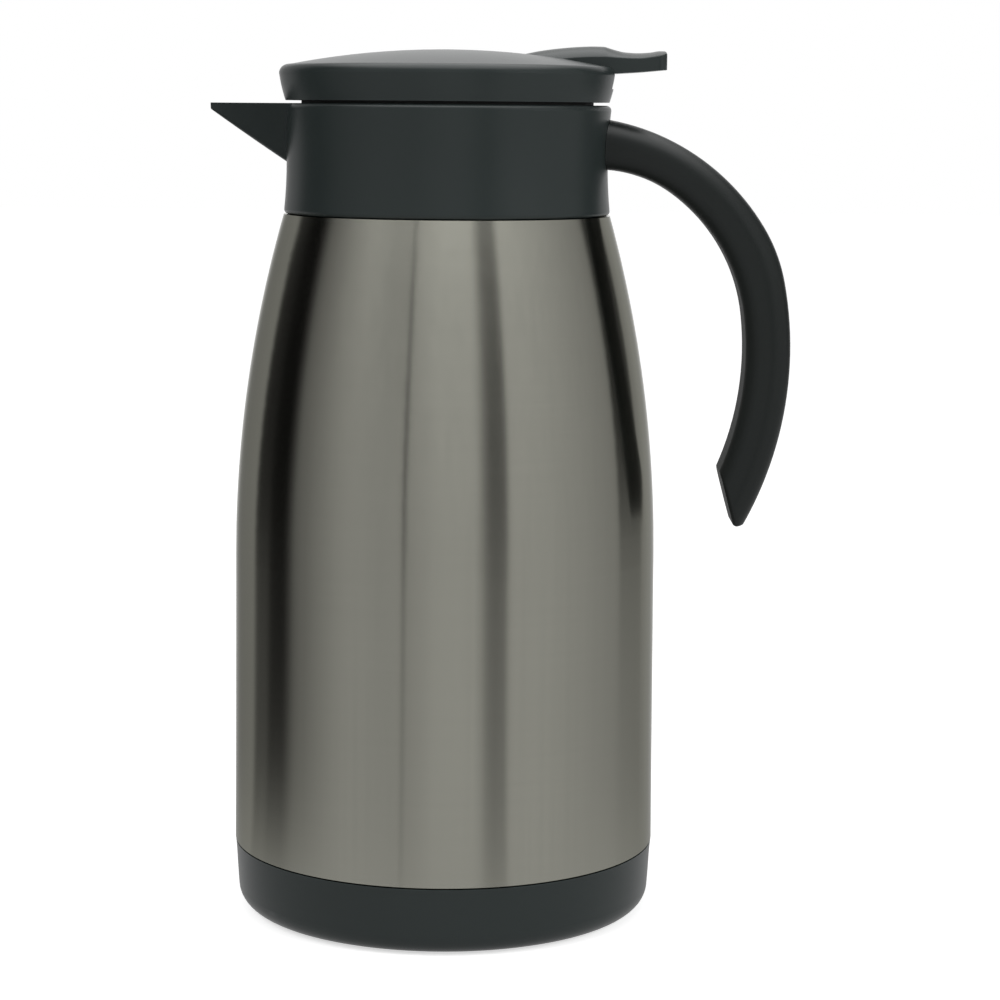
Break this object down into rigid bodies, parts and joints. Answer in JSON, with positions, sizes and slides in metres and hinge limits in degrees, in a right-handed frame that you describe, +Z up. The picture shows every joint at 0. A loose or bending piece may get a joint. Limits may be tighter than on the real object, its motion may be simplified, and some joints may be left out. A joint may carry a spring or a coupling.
{
  "type": "thermal carafe",
  "caption": "Double-walled steel vacuum carafe with a beaked collar, hook handle and screw-in stopper lid with a thumb lever that opens its pour valve.",
  "frame": {"origin": "middle of the foot ring's resting face, on the body's axis", "axes": "+Z up along the body's axis, +X towards the handle, -X towards the spout, +Y to the side"},
  "size_m": [0.1768, 0.13, 0.2655],
  "materials": {
    "body_steel": "vertically shaded satin brushing",
    "flask_steel": "plain drawn steel",
    "bead": "dull sealing bead",
    "getter_metal": "dull",
    "dark_plastic": "fine moulded satin",
    "food_plastic": "smooth moulded",
    "silicone": "matt silicone",
    "screw_steel": "stainless",
    "spring_steel": "drawn wire"
  },
  "bodies": {
    "carafe": {"outer_shell": "body_steel", "inner_flask": "flask_steel", "outer_bottom": "flask_steel", "vacuum_seal_bead": "bead", "getter": "getter_metal", "base_cup": "dark_plastic", "foot_ring": "silicone", "collar": "dark_plastic", "mouth_cup": "food_plastic", "neck_gasket": "silicone", "handle_body": "dark_plastic", "handle_cover": "dark_plastic", "handle_screws": "screw_steel"},
    "seal": {"stopper_seal": "silicone"},
    "lid": {"stopper_body": "food_plastic", "valve_seat": "food_plastic", "lid_gasket": "silicone", "lid_screws": "screw_steel", "lid_cover": "dark_plastic", "lever_pin": "screw_steel", "stem_o_ring": "silicone", "valve_spring": "spring_steel"},
    "lever": {"lever": "dark_plastic"},
    "valve": {"valve_stem": "food_plastic", "valve_plug": "silicone", "stem_clip": "screw_steel"}
  },
  "joints": [
    {"name": "lid_lift", "type": "slide", "parent": "carafe", "child": "seal", "axis": [0, 0, 1], "range_m": [0, 0.042]},
    {"name": "lid_twist", "type": "hinge", "parent": "seal", "child": "lid", "pos_m": [0, 0, 0.23], "axis": [0, 0, 1], "range_deg": [0, 631]},
    {"name": "lever_press", "type": "hinge", "parent": "lid", "child": "lever", "pos_m": [0.023, 0, 0.256], "axis": [0, 1, 0], "range_deg": [0, 9], "stiffness_Nm_per_rad": 0.12, "springref_deg": -11.46},
    {"name": "valve_lift", "type": "slide", "parent": "lid", "child": "valve", "axis": [0, 0, 1], "range_m": [0, 0.0036], "deforming": ["valve_spring"]}
  ],
  "couplings": [
    {"joint": "lid_twist", "follows": "lid_lift", "rad_per_m": 261.8},
    {"joint": "lever_press", "follows": "valve_lift", "rad_per_m": 43.478}
  ]
}
